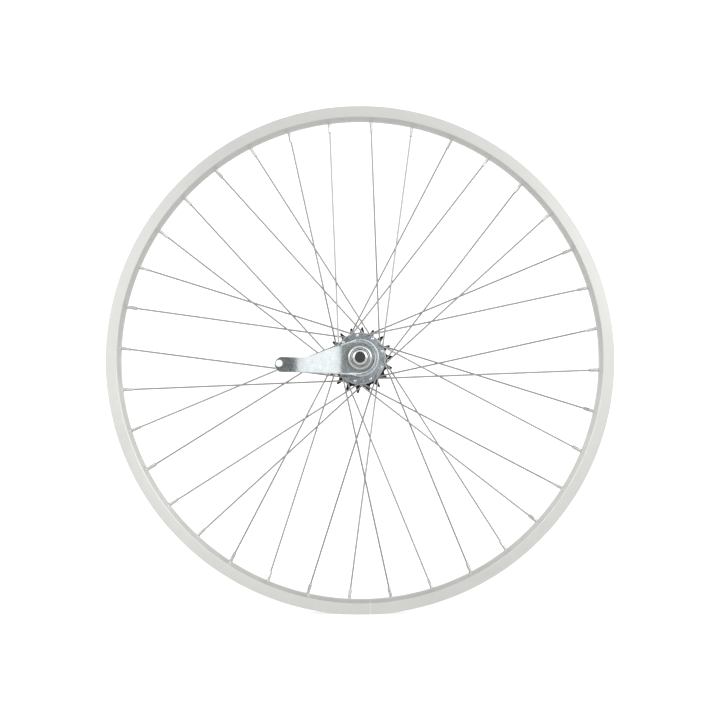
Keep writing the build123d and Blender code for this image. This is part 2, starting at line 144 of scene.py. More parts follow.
class WheelHubSizes(bpy.types.PropertyGroup):
    """Sizes of the hub shell, the axle and the hardware on it."""

    flange_offset: size("Flange offset", "From the mid-plane to a flange's middle", 29.5)
    flange_thickness: size("Flange thickness", "Thickness of a flange", 2.4)
    flange_radius: size("Flange radius", "Outer radius of a flange", 30.3)
    spoke_circle: size("Spoke circle radius", "Radius of the circle of spoke holes", 27)
    spoke_hole: size("Spoke hole radius", "Radius of a spoke hole", 1.6)
    half_length: size("Half length", "Half of the shell's length", 36)
    collar_radius: size("Collar radius", "Radius of the shell outside the flanges", 20.6)
    barrel_radius: size("Barrel radius", "Radius of the shell between the flanges", 19.4)
    drum_radius: size("Drum radius", "Bore that the brake shoes rub on", 17)
    mouth_radius: size("Mouth radius", "Bore at the shell's ends", 18.4)
    axle_radius: size("Axle radius", "Radius of the axle", 4.7625)
    axle_length: size("Axle length", "Length of the axle without its caps", 152)
    thread_pitch: size("Thread pitch", "Pitch of the axle's thread", 0.977)
    lock_width: size("Over-locknut width", "Distance between the faces that the frame clamps", 110)
    washer_radius: size("Washer radius", "Radius of the dished washer on the brake arm", 13.8)
    washer_height: size("Washer height", "Height of the dished washer", 6)
    lock_nut_radius: size("Lock nut radius", "Radius of the domed lock nut", 9.3)


class WheelArmSizes(bpy.types.PropertyGroup):
    """Sizes of the brake arm."""

    thickness: size("Thickness", "Thickness of the plate", 2.4)
    head_radius: size("Head radius", "Radius of the round head", 21.7)
    lip_width: size("Lip width", "Width of the raised lip's flat along the head's edge", 3.2)
    lip_wall: size("Lip wall", "Width of the lip's shoulder and wall", 3)
    lip_slope: share("Lip slope", "Slope of the lip's shoulder, above its wall", 0.13)
    lip_height: size("Lip height", "Height of the raised lip over the floor", 3.4)
    lip_end: size("Lip end", "From the axle to where the lip has run out along the blade", 24)
    lip_fade: size("Lip fade", "Length over which the lip runs out", 21)
    lip_neck: size("Lip neck", "Length over which the lip narrows, from the head's middle", 16)
    joggle: size("Joggle", "How far the tip lies nearer to the frame than the floor", 4.5)
    lip_edge: size("Lip edge", "Width over which the lip falls to the plate's edge", 0.8)
    blade_start: size("Blade start", "From the axle to the middle of the blade's first bend", 32)
    blade_end: size("Blade end", "From the axle to the middle of the blade's second bend", 77)
    root_bend: size("Root bend", "Half of the length of the blade's first bend", 12)
    tip_bend: size("Tip bend", "Half of the length of the blade's second bend", 5)
    painted_shade_radius: size("Painted shade radius", "How far the painted shade round the washer spreads over the arm", 17)
    bow: size("Bow", "How far the blade's middle stands out of a straight line", 0.9)
    tip_radius: size("Tip radius", "Radius of the round tip", 9.1)
    tip_reach: size("Tip reach", "From the axle to the middle of the round tip", 89.8)
    # painted shade: how far the arm's zinc is darkened round the washer
    tip_drop: size("Tip drop", "How far the middle of the tip lies below the axle", 8)
    hole_reach: size("Hole reach", "From the axle to the hole for the frame clip", 93.5)
    hole_drop: size("Hole drop", "How far the hole lies below the axle", 6.5)
    hole_radius: size("Hole radius", "Radius of the hole for the frame clip", 3.5)
    square: size("Square", "Width of the square hole on the brake cone", 15.15)
    edge: size("Edge rounding", "Radius of the plate's edges", 0.35)


class WheelDriveSizes(bpy.types.PropertyGroup):
    """Sizes of the sprocket and its ring."""

    teeth: count("Teeth", "Number of teeth", 18)
    chain_pitch: size("Chain pitch", "Pitch of the chain", 12.7)
    seat_radius: size("Roller seat radius", "Radius of the seat between two teeth", 4)
    tip_radius: size("Tip radius", "Radius at the teeth's tips", 40.5)
    thickness: size("Thickness", "Thickness of the sprocket", 2.9)
    chain_line: size("Chain line", "From the mid-plane to the sprocket's middle", 41)
    bore_radius: size("Bore radius", "Radius of the sprocket's bore", 16.45)
    flank: turn("Flank angle", "Half the angle at which the gap between two teeth opens", 25.5)
    first_tooth: turn("First tooth", "Angle of the first tooth, from +X towards +Z", 6.1)


class WheelFinish(bpy.types.PropertyGroup):
    """Colours of the metals and plastics."""

    rim: colour("Rim", "Satin aluminium of the rim", 0.95, 0.955, 0.92)
    wire: colour("Wire", "Drawn steel of the spokes", 0.46, 0.455, 0.44)
    nickel: colour("Nickel", "Plating of the nipples", 0.80, 0.79, 0.76)
    zinc: colour("Zinc", "Bright zinc of the hub shell", 0.66, 0.73, 0.77)
    zinc_shade: colour("Zinc shade", "Darker clouds in the zinc", 0.32, 0.36, 0.41)
    arm: colour("Arm", "Zinc of the brake arm", 0.88, 0.94, 0.955)
    arm_shade: colour("Arm shade", "Darker crystals in the arm's zinc", 0.68, 0.745, 0.765)
    polished: colour("Polished", "Polished steel of the washer and nuts", 0.84, 0.85, 0.85)
    steel: colour("Steel", "Plain steel of the axle and cones", 0.50, 0.50, 0.50)
    bronze: colour("Bronze", "Bronze of the brake shoes", 0.62, 0.42, 0.20)
    black: colour("Black", "Black finish of the sprocket", 0.012, 0.012, 0.013)
    plastic: colour("Plastic", "Black plastic of the axle caps", 0.045, 0.044, 0.044)


class WheelStage(bpy.types.PropertyGroup):
    """Camera and light."""

    distance: size("Camera distance", "From the camera to the wheel's middle", 1600)
    elevation: turn("Camera elevation", "How far the camera looks down", -1.85)
    lens: bpy.props.FloatProperty(name="Lens", description="Focal length", default=67.15, unit="CAMERA")
    aim_left: size("Aim left", "How far left of the wheel's middle the camera aims", 0.1)
    aim_down: size("Aim down", "How far below the wheel's middle the camera aims", 1.1)
    left: share("Left panel", "Brightness of the surround on the left", 0.93)
    right: share("Right panel", "Brightness of the surround on the right", 1.1)
    gap: share("Gap", "Brightness of the gap between the side panels", 0.08)
    gap_height: share("Gap height", "How far the gap reaches up and down, as a sine", 0.26)
    above: share("Above", "Brightness of the surround overhead", 0.48)
    behind: share("Behind", "Brightness of the surround behind the wheel", 0.5)
    gap_turn: turn("Gap turn", "How far the gap lies to the left", 3)
    gap_half_width: turn("Gap half width", "Half of the width of the gap's dark middle", 2.4)
    gap_edge: turn("Gap edge", "Width of the gap's soft edge", 3)
    key: bpy.props.FloatProperty(
        name="Lamps", description="Power of the side lamps", default=6, unit="POWER"
    )


# ---------------------------------------------------------------- shapes


def at(radius, angle, y=0.0):
    """A point by its radius and its angle from +X towards +Z, in the plane at y."""
    return Vector((radius * cos(angle), y, radius * sin(angle)))


def apply_modifiers(obj):
    """Keep the mesh that an object's modifiers make of it."""
    depsgraph = bpy.context.evaluated_depsgraph_get()
    result = bpy.data.meshes.new_from_object(obj.evaluated_get(depsgraph))
    obj.modifiers.clear()
    old = obj.data
    obj.data = result
    bpy.data.meshes.remove(old)
    result.name = obj.name


def smooth(obj, crease):
    """Smooth faces, sharp edges above the crease angle, and normals that keep large faces flat."""
    obj.data.shade_smooth()
    obj.data.set_sharp_from_angle(angle=radians(crease))
    obj.modifiers.new("normals", "WEIGHTED_NORMAL").keep_sharp = True
    apply_modifiers(obj)


def finish_mesh(name, bm, crease=35.0):
    """Turn a bmesh into a linked, smooth object."""
    bmesh.ops.remove_doubles(bm, verts=bm.verts, dist=1e-7)
    bmesh.ops.recalc_face_normals(bm, faces=bm.faces)
    mesh = bpy.data.meshes.new(name)
    bm.to_mesh(mesh)
    bm.free()
    obj = bpy.data.objects.new(name, mesh)
    bpy.context.scene.collection.objects.link(obj)
    if crease:
        smooth(obj, crease)
    return obj


def round_off(before, here, after, radius):
    """The centre of a corner's rounding, and the arms from it to the rounding's two ends."""
    back, on = before - here, after - here
    half = back.angle(on) / 2
    reach = min(radius / tan(half), 0.49 * back.length, 0.49 * on.length)
    middle = (back.normalized() + on.normalized()).normalized()
    centre = here + middle * (reach * tan(half) / sin(half))
    return centre, here + back.normalized() * reach - centre, here + on.normalized() * reach - centre


def eased(corners, closed=True, step=18.0):
    """Points of an outline of (x, y, radius) corners, each rounded by its radius."""
    points = []
    number = len(corners)
    for i, (x, y, radius) in enumerate(corners):
        here = Vector((x, y))
        before, after = Vector(corners[i - 1][:2]), Vector(corners[(i + 1) % number][:2])
        at_end = not closed and i in (0, number - 1)
        if not radius or at_end or (before - here).angle(after - here) > pi - 0.02:
            points.append(here)
            continue
        centre, first, last = round_off(before, here, after, radius)
        swing = first.angle_signed(last)
        steps = max(2, ceil(degrees(abs(swing)) / step))
        for k in range(steps + 1):
            turned_by = -swing * k / steps
            c, z = cos(turned_by), sin(turned_by)
            points.append(centre + Vector((first.x * c - first.y * z, first.x * z + first.y * c)))
    return points


def join(bm, rings, round_again=False):
    """Make vertices of rings of equally many points, with faces between neighbouring rings."""
    made = [[bm.verts.new(point) for point in ring] for ring in rings]
    for here, there in zip(made, made[1:] + made[:1] if round_again else made[1:]):
        for k in range(len(here)):
            n = (k + 1) % len(here)
            bm.faces.new((here[k], here[n], there[n], there[k]))
    return made


def skin(bm, rings):
    """A closed body through rings of points."""
    made = join(bm, rings)
    bm.faces.new(list(reversed(made[0])))
    bm.faces.new(made[-1])


def lathe(bm, profile, segments=128, start=0.0, sweep=2 * pi, place=Matrix()):
    """Turn a closed outline of (radius, y) points about the Y axis, or about place's Y axis."""
    full = sweep > 2 * pi - 1e-9
    angles = [start + sweep * i / segments for i in range(segments if full else segments + 1)]
    made = join(bm, [[place @ at(radius, angle, y) for radius, y in profile] for angle in angles], full)
    if not full:
        bm.faces.new(made[0])
        bm.faces.new(list(reversed(made[-1])))


def drill(bm, place, radius, low, high, segments):
    """A round bar from low to high on place's Y axis, to cut a hole with."""
    lathe(bm, [(0, low), (radius, low), (radius, high), (0, high)], segments, place=place)


def turned_piece(name, corners, segments=128, crease=35.0):
    """A turned piece from (radius, y, rounding) corners."""
    bm = bmesh.new()
    lathe(bm, eased(corners), segments)
    return finish_mesh(name, bm, crease)


def bend_path(points, radii, step=12.0):
    """A 3-D route with its inner corners rounded by the radii."""
    route = [points[0]]
    for before, here, after, radius in zip(points, points[1:], points[2:], radii):
        centre, first, last = round_off(before, here, after, radius)
        swing = first.angle(last)
        axis = first.cross(last).normalized()
        steps = max(2, ceil(degrees(swing) / step))
        for k in range(steps + 1):
            route.append(centre + Matrix.Rotation(swing * k / steps, 3, axis) @ first)
    return [*route, points[-1]]


def tube(bm, route, radius, sides=14):
    """A round bar along a route, closed at its ends."""
    across = (route[1] - route[0]).orthogonal().normalized()
    rings = []
    for i, point in enumerate(route):
        before = route[max(i - 1, 0)]
        after = route[min(i + 1, len(route) - 1)]
        along = (after - before).normalized()
        across = (across - along * across.dot(along)).normalized()
        other = along.cross(across)
        turns = [2 * pi * k / sides for k in range(sides)]
        rings.append([point + radius * (across * cos(angle) + other * sin(angle)) for angle in turns])
    skin(bm, rings)


def cut(piece, bm, crease=35.0):
    """Cut the closed solids in bm out of a piece."""
    cutter = finish_mesh(piece.name + "_cutter", bm, None)
    modifier = piece.modifiers.new("holes", "BOOLEAN")
    modifier.operation = "DIFFERENCE"
    modifier.solver = "EXACT"
    modifier.object = cutter
    apply_modifiers(piece)
    smooth(piece, crease)
    bpy.data.objects.remove(cutter)


def axis_frame(origin, y_axis):
    """A place whose Y axis points along y_axis."""
    turned_to = Vector((0, 1, 0)).rotation_difference(y_axis.normalized())
    return Matrix.Translation(origin) @ turned_to.to_matrix().to_4x4()


def inside(point, ring):
    """Whether a flat point lies inside a closed ring."""
    found = False
    for a, b in zip(ring, ring[1:] + ring[:1]):
        if (a.y > point.y) != (b.y > point.y):
            if point.x < (b.x - a.x) * (point.y - a.y) / (b.y - a.y) + a.x:
                found = not found
    return found


def ease(t):
    """A smooth step from 0 to 1."""
    t = min(max(t, 0.0), 1.0)
    return t * t * (3 - 2 * t)


# ---------------------------------------------------------------- how the spokes run


class Lacing:
    """Where the spokes and nipples of the wheel run."""

    def __init__(self, scene):
        self.spoke = scene.wheel_spokes
        self.hub = scene.wheel_hub
        self.rim = scene.wheel_rim
        self.step = 2 * pi / self.spoke.spokes
        self.lacing = self.spoke.crossings * 2 * self.step
        group = self.spoke.spokes // len(SPOKE_GROUPS)
        self.spins = [2 * pi * i / group for i in range(group)]

    def rim_angle(self, side, lay):
        steps = {(RIGHT, INNER): -0.5, (LEFT, OUTER): 0.5, (RIGHT, OUTER): 1.5, (LEFT, INNER): 2.5}
        return self.rim.valve_angle + steps[side, lay] * self.step

    def hub_angle(self, side, lay):
        return self.rim_angle(side, lay) + lay * self.lacing

    def rim_point(self, side, lay, spin=0.0):
        return at(self.rim.bed_radius, self.rim_angle(side, lay) + spin, side * self.spoke.stagger)

    def crossing(self, side, lay, spin=0.0):
        half_turn = (self.spoke.crossings - 0.5) * 2 * self.step
        hub_share = self.hub.spoke_circle * sin(half_turn)
        part = hub_share / (hub_share + self.rim.bed_radius * sin(self.lacing - half_turn))
        hub = self.hole(side, lay, spin)
        on_line = hub + (self.rim_point(side, lay, spin) - hub) * part
        return on_line - Vector((0, side * lay * (self.spoke.radius + self.spoke.gap), 0))

    def nipple(self, side, lay, spin=0.0):
        """A nipple's mouth and its direction towards the rim."""
        seat = self.rim_point(side, lay, spin)
        along = (seat - self.crossing(side, lay, spin)).normalized()
        return seat - along * self.spoke.nipple_reach, along

    def hole(self, side, lay, spin=0.0):
        return at(self.hub.spoke_circle, self.hub_angle(side, lay) + spin, side * self.hub.flange_offset)

    def route(self, side, lay, spin=0.0):
        """The middle of a spoke, from under its head to just inside its nipple."""
        up = Vector((0, side * lay, 0))
        half = self.hub.flange_thickness / 2
        hole = self.hole(side, lay, spin)
        lift = 0.35 * MM
        rise = half + lift + self.spoke.radius
        crossing = self.crossing(side, lay, spin)
        top = hole + up * rise
        along = (Vector((crossing.x, top.y, crossing.z)) - top).normalized()
        mouth, direction = self.nipple(side, lay, spin)
        points = [hole - up * half, top]
        radii = [self.spoke.elbow_radius]
        if lay == OUTER:
            points.append(top + along * (self.hub.flange_radius - self.hub.spoke_circle) * 3)
            radii.append(25 * MM)
        points += [crossing, mouth + direction * MM]
        radii.append(120 * MM)
        return bend_path(points, radii)


# ---------------------------------------------------------------- finishes


class Tree:
    """A node tree under construction."""

    def __init__(self, tree):
        self.tree = tree

    def feed(self, socket, value):
        """Give a socket a number, a colour or another node's output."""
        if isinstance(value, bpy.types.NodeSocket):
            self.tree.links.new(value, socket)
        else:
            socket.default_value = (*value, 1.0) if socket.type == "RGBA" else value

    def node(self, kind, sockets, **settings):
        """Add a node with its settings, and feed the sockets that are named or numbered."""
        made = self.tree.nodes.new(kind)
        for key, value in settings.items():
            setattr(made, key, value)
        for key, value in sockets.items():
            self.feed(made.inputs[key], value)
        return made

    def math(self, operation, *values):
        return self.node("ShaderNodeMath", dict(enumerate(values)), operation=operation).outputs[0]

    def span(self, value, low, high, to_low, to_high, curve="LINEAR"):
        """Turn the range from low to high into the range from to_low to to_high."""
        limits = {"From Min": low, "From Max": high, "To Min": to_low, "To Max": to_high}
        made = self.node("ShaderNodeMapRange", {"Value": value, **limits}, interpolation_type=curve)
        return made.outputs["Result"]


class Finish(Tree):
    """A metal's or plastic's material under construction."""

    def __init__(self, name, **sockets):
        self.material = bpy.data.materials.new(name)
        self.material.use_nodes = True
        super().__init__(self.material.node_tree)
        self.shader = self.tree.nodes["Principled BSDF"]
        for socket, value in sockets.items():
            self.feed(self.shader.inputs[socket.replace("_", " ").title().replace("Ior", "IOR")], value)
        self.coords = self.node("ShaderNodeTexCoord", {}).outputs["Object"]

    def noise(self, scale, detail=4.0, rough=0.55, vector=None):
        sockets = {"Vector": vector or self.coords, "Scale": scale, "Detail": detail, "Roughness": rough}
        return self.node("ShaderNodeTexNoise", sockets).outputs["Fac"]

    def soft(self, value, to_low, to_high):
        """Spread the middle of a noise over a range."""
        return self.span(value, 0.3, 0.7, to_low, to_high)

    def mix(self, part, *tones):
        """Blend from the first tone to the second."""
        made = self.node("ShaderNodeMix", {"Factor": part}, data_type="RGBA")
        for socket, tone in zip([s for s in made.inputs if s.type == "RGBA"], tones):
            self.feed(socket, tone)
        return [s for s in made.outputs if s.type == "RGBA"][0]

    def bump(self, height, distance, strength=1.0, below=None):
        sockets = {"Height": height, "Distance": distance, "Strength": strength}
        if below:
            sockets["Normal"] = below
        return self.node("ShaderNodeBump", sockets).outputs["Normal"]

    def from_axle(self):
        """Distance from the wheel's axis."""
        flat = self.node("ShaderNodeVectorMath", {0: self.coords, 1: (1, 0, 1)}, operation="MULTIPLY")
        length = self.node("ShaderNodeVectorMath", {0: flat.outputs[0]}, operation="LENGTH")
        return length.outputs["Value"]

    def turned(self, along, across):
        """Noise drawn out round the wheel's axis, as turning leaves it."""
        parts = self.node("ShaderNodeSeparateXYZ", {0: self.coords}).outputs
        angle = self.math("ARCTAN2", parts["Z"], parts["X"])
        scaled = [(angle, along), (self.from_axle(), across), (parts["Y"], across)]
        sockets = {i: self.math("MULTIPLY", *pair) for i, pair in enumerate(scaled)}
        return self.noise(1.0, 2.0, 0.5, self.node("ShaderNodeCombineXYZ", sockets).outputs[0])

    def done(self, tone, roughness, normal):
        """Feed the shader and hand over the material."""
        for socket, source in (("Base Color", tone), ("Roughness", roughness), ("Normal", normal)):
            self.feed(self.shader.inputs[socket], source)
        return self.material


def shaded(base, factor):
    return tuple(channel * factor for channel in base)


def satin_aluminium(name, base):
    """Anodised aluminium, turned round the wheel, with soft clouds from handling."""
    f = Finish(name, metallic=1.0, anisotropic=0.85, anisotropic_rotation=0.25)
    tangent = f.node("ShaderNodeTangent", {}, direction_type="RADIAL", axis="Y")
    f.feed(f.shader.inputs["Tangent"], tangent.outputs["Tangent"])
    marks = f.turned(14, 5200)
    tone = f.mix(f.soft(f.noise(16, 3.0), 0, 1), shaded(base, 0.96), base)
    lined = f.mix(f.span(marks, 0.35, 0.65, 0, 0.15), tone, shaded(base, 0.85))
    return f.done(lined, f.soft(f.noise(70), 0.34, 0.42), f.bump(marks, 0.00001, 0.4))


def drawn_wire(name, base):
    """Drawn stainless wire: grey, fairly bright, with faint streaks."""
    f = Finish(name, metallic=1.0)
    streaks = f.noise(900, 3.0)
    tone = f.mix(f.soft(streaks, 0, 1), shaded(base, 0.94), shaded(base, 1.04))
    return f.done(tone, f.soft(f.noise(300), 0.14, 0.26), f.bump(streaks, 0.00001, 0.3))


def nickel_plate(name, base):
    """Bright nickel with soft clouds."""
    f = Finish(name, metallic=1.0)
    clouds = f.noise(500, 3.0)
    tone = f.mix(f.soft(clouds, 0, 1), shaded(base, 0.86), base)
    return f.done(tone, f.soft(clouds, 0.16, 0.3), f.bump(f.noise(1500), 0.00001, 0.4))


def zinc_plate(name, base, shade, grain, gloss, relief, painted_shade_radius=0.0):
    """Bright zinc: crystals and clouds that change its tone, its gloss and its level a little.

    Inside the painted shade radius it darkens towards the axle: painted shade in the recess round the
    washer, fading out.
    """
    f = Finish(name, metallic=1.0)
    cells = f.node("ShaderNodeTexVoronoi", {"Vector": f.coords, "Scale": grain * 2.2})
    mottle = f.noise(grain * 1.7, 4.0, 0.6)
    tone = f.mix(f.span(f.noise(grain * 0.45, 6.0, 0.65), 0.36, 0.62, 0, 0.75), base, shade)
    tone = f.mix(f.span(mottle, 0.38, 0.62, 0, 0.4), tone, shade)
    tone = f.mix(f.span(cells.outputs["Distance"], 0.1, 0.8, 0, 0.16), tone, shaded(base, 1.1))
    if painted_shade_radius:
        # painted shade: the zinc near the axle is darkened, as if the recess round the washer lay in
        # shade
        painted_shade = f.span(f.from_axle(), painted_shade_radius * 0.85, painted_shade_radius * 1.15, 0.6, 0)
        tone = f.mix(painted_shade, tone, shaded(shade, 0.45))
    rough = f.span(mottle, 0.35, 0.65, gloss, gloss * 1.6)
    waves = f.bump(f.noise(grain * 0.5, 3.0), relief * 2.5)
    return f.done(tone, rough, f.bump(mottle, relief, 1.0, waves))


def polished_steel(name, base):
    """Turned and polished steel with fine rings."""
    f = Finish(name, metallic=1.0)
    rings = f.turned(3, 9000)
    tone = f.mix(f.soft(f.noise(260), 0, 1), shaded(base, 0.85), base)
    return f.done(tone, f.soft(rings, 0.14, 0.28), f.bump(rings, 0.00001, 0.4))


def plain_steel(name, base):
    """Machined steel with a film of oil."""
    f = Finish(name, metallic=1.0, coat_weight=0.15, coat_roughness=0.2)
    rings = f.turned(2, 4000)
    tone = f.mix(f.soft(f.noise(320, 5.0), 0, 1), shaded(base, 0.75), base)
    return f.done(tone, f.soft(rings, 0.28, 0.42), f.bump(rings, 0.00002, 0.5))


def cast_bronze(name, base):
    """Cast bronze with a machined rubbing face."""
    f = Finish(name, metallic=1.0)
    pits = f.noise(900, 6.0, 0.7)
    tone = f.mix(f.soft(f.noise(180), 0, 1), shaded(base, 0.7), base)
    return f.done(tone, f.soft(pits, 0.35, 0.55), f.bump(pits, 0.00006, 0.5))


def black_oxide(name, base):
    """Blackened steel: a thin dark skin that thins where it has been rubbed."""
    f = Finish(name, metallic=0.55)
    rubbed = f.noise(420, 6.0, 0.68)
    tone = f.mix(f.span(rubbed, 0.62, 0.78, 0, 1), base, shaded(base, 6.0))
    return f.done(tone, f.soft(rubbed, 0.5, 0.34), f.bump(f.noise(2400, 3.0), 0.00003, 0.4))


def moulded_plastic(name, base):
    """Moulded black plastic with a fine matt grain."""
    f = Finish(name, specular_ior_level=0.4)
    grain = f.noise(2600, 3.0)
    tone = f.mix(f.soft(f.noise(240), 0, 1), shaded(base, 0.8), shaded(base, 1.35))
    return f.done(tone, f.soft(grain, 0.42, 0.56), f.bump(grain, 0.00003, 0.5))


def dress(obj, material, body, slot, *nodes):
    """Give a piece its finish, its body and the CAD nodes that it stands for; the slot argument is not
    used.
    """
    obj.data.materials.append(material)
    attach(obj, body)
    if nodes:
        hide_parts(*nodes)
    return obj


def repaint(material, *nodes):
    """Give a finish to CAD nodes that show as they are."""
    for node in nodes:
        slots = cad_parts[node].data.materials
        slots.clear()
        slots.append(material)


# ---------------------------------------------------------------- pieces


class WHEEL_OT_rim(bpy.types.Operator):
    """Build the rim with its hooked walls, spoke holes, valve hole and joint"""

    bl_idname = "wheel.rim"
    bl_label = "Rim"

    def execute(self, context):
        s = context.scene.wheel_rim
        lacing = Lacing(context.scene)
        inner = s.half_width - s.wall
        well = s.bed_radius + s.wall
        hook = 0.75 * MM
        half = [
            (s.bed_radius - 0.3 * MM, 0, 0),
            (s.bed_radius, 4.5 * MM, 9 * MM),
            (s.corner_radius, s.corner_half_width, 1.1 * MM),
            (s.edge_radius, s.half_width, 0.55 * MM),
            (s.edge_radius, inner - hook, 0.45 * MM),
            (s.edge_radius - 1.5 * MM, inner - hook, 0.5 * MM),
            (s.edge_radius - 2.4 * MM, inner, 0.6 * MM),
            (s.seat_radius + 0.6 * MM, inner, 0.6 * MM),
            (s.seat_radius, inner - 1.6 * MM, 0.8 * MM),
            (well + 0.9 * MM, 7.0 * MM, 1.6 * MM),
            (well, 5.2 * MM, 1.6 * MM),
            (well, 0, 0),
        ]
        mirrored = [(radius, -y, rounding) for radius, y, rounding in reversed(half[1:-1])]
        gap = s.joint_gap / s.edge_radius
        bm = bmesh.new()
        lathe(bm, eased(half + mirrored, step=22), 480, s.joint_angle + gap / 2, 2 * pi - gap)
        rim = finish_mesh("rim_hoop", bm, 32)
        holes = bmesh.new()
        passage = lacing.spoke.nipple_radius + 0.15 * MM
        for side, lay in SPOKE_GROUPS:
            for spin in lacing.spins:
                along = lacing.nipple(side, lay, spin)[1]
                place = axis_frame(lacing.rim_point(side, lay, spin), along)
                drill(holes, place, passage, -6 * MM, 5 * MM, 20)
        place = axis_frame(at(s.bed_radius, s.valve_angle), at(1, s.valve_angle))
        drill(holes, place, s.valve_radius, -6 * MM, 6 * MM, 40)
        cut(rim, holes)
        finish = satin_aluminium("satin aluminium", context.scene.wheel_finish.rim)
        dress(rim, finish, "wheel", "rim", "rim")
        return {"FINISHED"}


class WHEEL_OT_spokes(bpy.types.Operator):
    """Build the spokes, with their heads, elbows and laced crossings"""

    bl_idname = "wheel.spokes"
    bl_label = "Spokes"

    def execute(self, context):
        lacing = Lacing(context.scene)
        s = lacing.spoke
        colours = context.scene.wheel_finish
        finish = drawn_wire("drawn wire", colours.wire)
        # painted highlight: the heads take the polished colour brightened by 1.14, far lighter than their
        # wire, to stand for their highlights
        head_highlight_finish = nickel_plate("heads painted bright", shaded(colours.polished, 1.14))
        head = [
            (0, 0, 0),
            (s.head_radius * 0.95, 0, 0.1 * MM),
            (s.head_radius, -0.25 * s.head_height, 0.2 * MM),
            (s.head_radius * 0.55, -0.8 * s.head_height, 0.9 * MM),
            (0, -s.head_height, 0),
        ]
        for side, lay in SPOKE_GROUPS:
            bm = bmesh.new()
            for spin in lacing.spins:
                route = lacing.route(side, lay, spin)
                tube(bm, route, s.radius)
                wire_faces = len(bm.faces)
                lathe(bm, eased(head), 20, place=axis_frame(route[0], Vector((0, side * lay, 0))))
                for face in list(bm.faces)[wire_faces:]:
                    face.material_index = 1
            name = f"spokes_{SIDE_NAMES[side]}_{LAY_NAMES[lay]}"
            wires = dress(finish_mesh("wire_" + name, bm), finish, "wheel", "spokes", name)
            wires.data.materials.append(head_highlight_finish)
        return {"FINISHED"}


class WHEEL_OT_nipples(bpy.types.Operator):
    """Build the nipples: a square body for the key, a round shank and a rounded head"""

    bl_idname = "wheel.nipples"
    bl_label = "Nipples"

    sides = 24

    def ring(self, place, height, half_width, squareness):
        """A ring between round, at a squareness of 2, and square."""
        points = []
        for k in range(self.sides):
            angle = 2 * pi * (k + 0.5) / self.sides
            c, z = cos(angle), sin(angle)
            reach = (abs(c) ** squareness + abs(z) ** squareness) ** (-1 / squareness)
            points.append(place @ Vector((half_width * reach * c, height, half_width * reach * z)))
        return points

    def execute(self, context):
        lacing = Lacing(context.scene)
        s = lacing.spoke
        seat = s.nipple_reach + lacing.rim.wall + s.nipple_seat_gap
        square, shank, head = s.nipple_square / 2, s.nipple_radius, s.nipple_head_radius
        sections = [
            (1.2 * MM, 1.04 * MM, 2),
            (0.0, 1.25 * MM, 2),
            (0.05 * MM, 1.5 * MM, 2.2),
            (0.5 * MM, square * 0.98, 4),
            (0.8 * MM, square, 6),
            (6.2 * MM, square, 6),
            (6.6 * MM, square * 1.02, 4),
            (7.1 * MM, shank, 2),
            (seat - 0.2 * MM, shank, 2),
            (seat, shank + 0.2 * MM, 2),
            (seat + 0.05 * MM, head * 0.96, 2),
            (seat + 0.3 * MM, head, 2),
            (seat + 0.9 * MM, head * 0.97, 2),
            (seat + 1.5 * MM, head * 0.82, 2),
            (seat + 1.9 * MM, head * 0.55, 2),
            (seat + 2.05 * MM, head * 0.25, 2),
        ]
        finish = nickel_plate("bright nickel", context.scene.wheel_finish.nickel)
        for side in (LEFT, RIGHT):
            bm = bmesh.new()
            for lay in (OUTER, INNER):
                for i, spin in enumerate(lacing.spins):
                    mouth, along = lacing.nipple(side, lay, spin)
                    spun = Matrix.Rotation(radians(37 * i + 20 * lay), 4, "Y")
                    place = axis_frame(mouth, along) @ spun
                    skin(bm, [self.ring(place, *section) for section in sections])
            name = f"nipples_{SIDE_NAMES[side]}"
            dress(finish_mesh("set_" + name, bm), finish, "wheel", "nipples", name)
        return {"FINISHED"}


class WHEEL_OT_hub_shell(bpy.types.Operator):
    """Build the hub shell with its drilled flanges"""

    bl_idname = "wheel.hub_shell"
    bl_label = "Hub shell"

    def execute(self, context):
        s = context.scene.wheel_hub
        lacing = Lacing(context.scene)
        outer_face = s.flange_offset + s.flange_thickness / 2
        inner_face = s.flange_offset - s.flange_thickness / 2
        waist = s.barrel_radius - 0.5 * MM
        drum_start, drum_end, race = -28 * MM, 5 * MM, 20 * MM
        corners = [
            (s.mouth_radius, -s.half_length, 0.4 * MM),
            (s.collar_radius, -s.half_length, 0.7 * MM),
            (s.collar_radius, -outer_face, 1.2 * MM),
            (s.flange_radius, -outer_face, 1.1 * MM),
            (s.flange_radius, -inner_face, 0.7 * MM),
            (s.barrel_radius, -inner_face, 2.0 * MM),
            (waist, 0, 30 * MM),
            (s.barrel_radius, inner_face, 2.0 * MM),
            (s.flange_radius, inner_face, 0.7 * MM),
            (s.flange_radius, outer_face, 1.1 * MM),
            (s.collar_radius, outer_face, 1.2 * MM),
            (s.collar_radius, s.half_length, 0.7 * MM),
            (s.mouth_radius, s.half_length, 0.4 * MM),
            (s.mouth_radius, race, 0.4 * MM),
            (14 * MM, race, 0.3 * MM),
            (s.drum_radius, drum_end, 0.3 * MM),
            (s.drum_radius, drum_start, 0.3 * MM),
            (s.mouth_radius, drum_start, 0.4 * MM),
        ]
        shell = turned_piece("shell_with_flanges", corners, 180)
        holes = bmesh.new()
        reach = s.flange_thickness
        for side, lay in SPOKE_GROUPS:
            for spin in lacing.spins:
                place = Matrix.Translation(lacing.hole(side, lay, spin))
                drill(holes, place, s.spoke_hole, -reach, reach, 18)
        cut(shell, holes)
        colours = context.scene.wheel_finish
        finish = zinc_plate("hub zinc", colours.zinc, colours.zinc_shade, 190, 0.12, 0.00002)
        dress(shell, finish, "wheel", "hub_shell", "hub_shell")
        return {"FINISHED"}


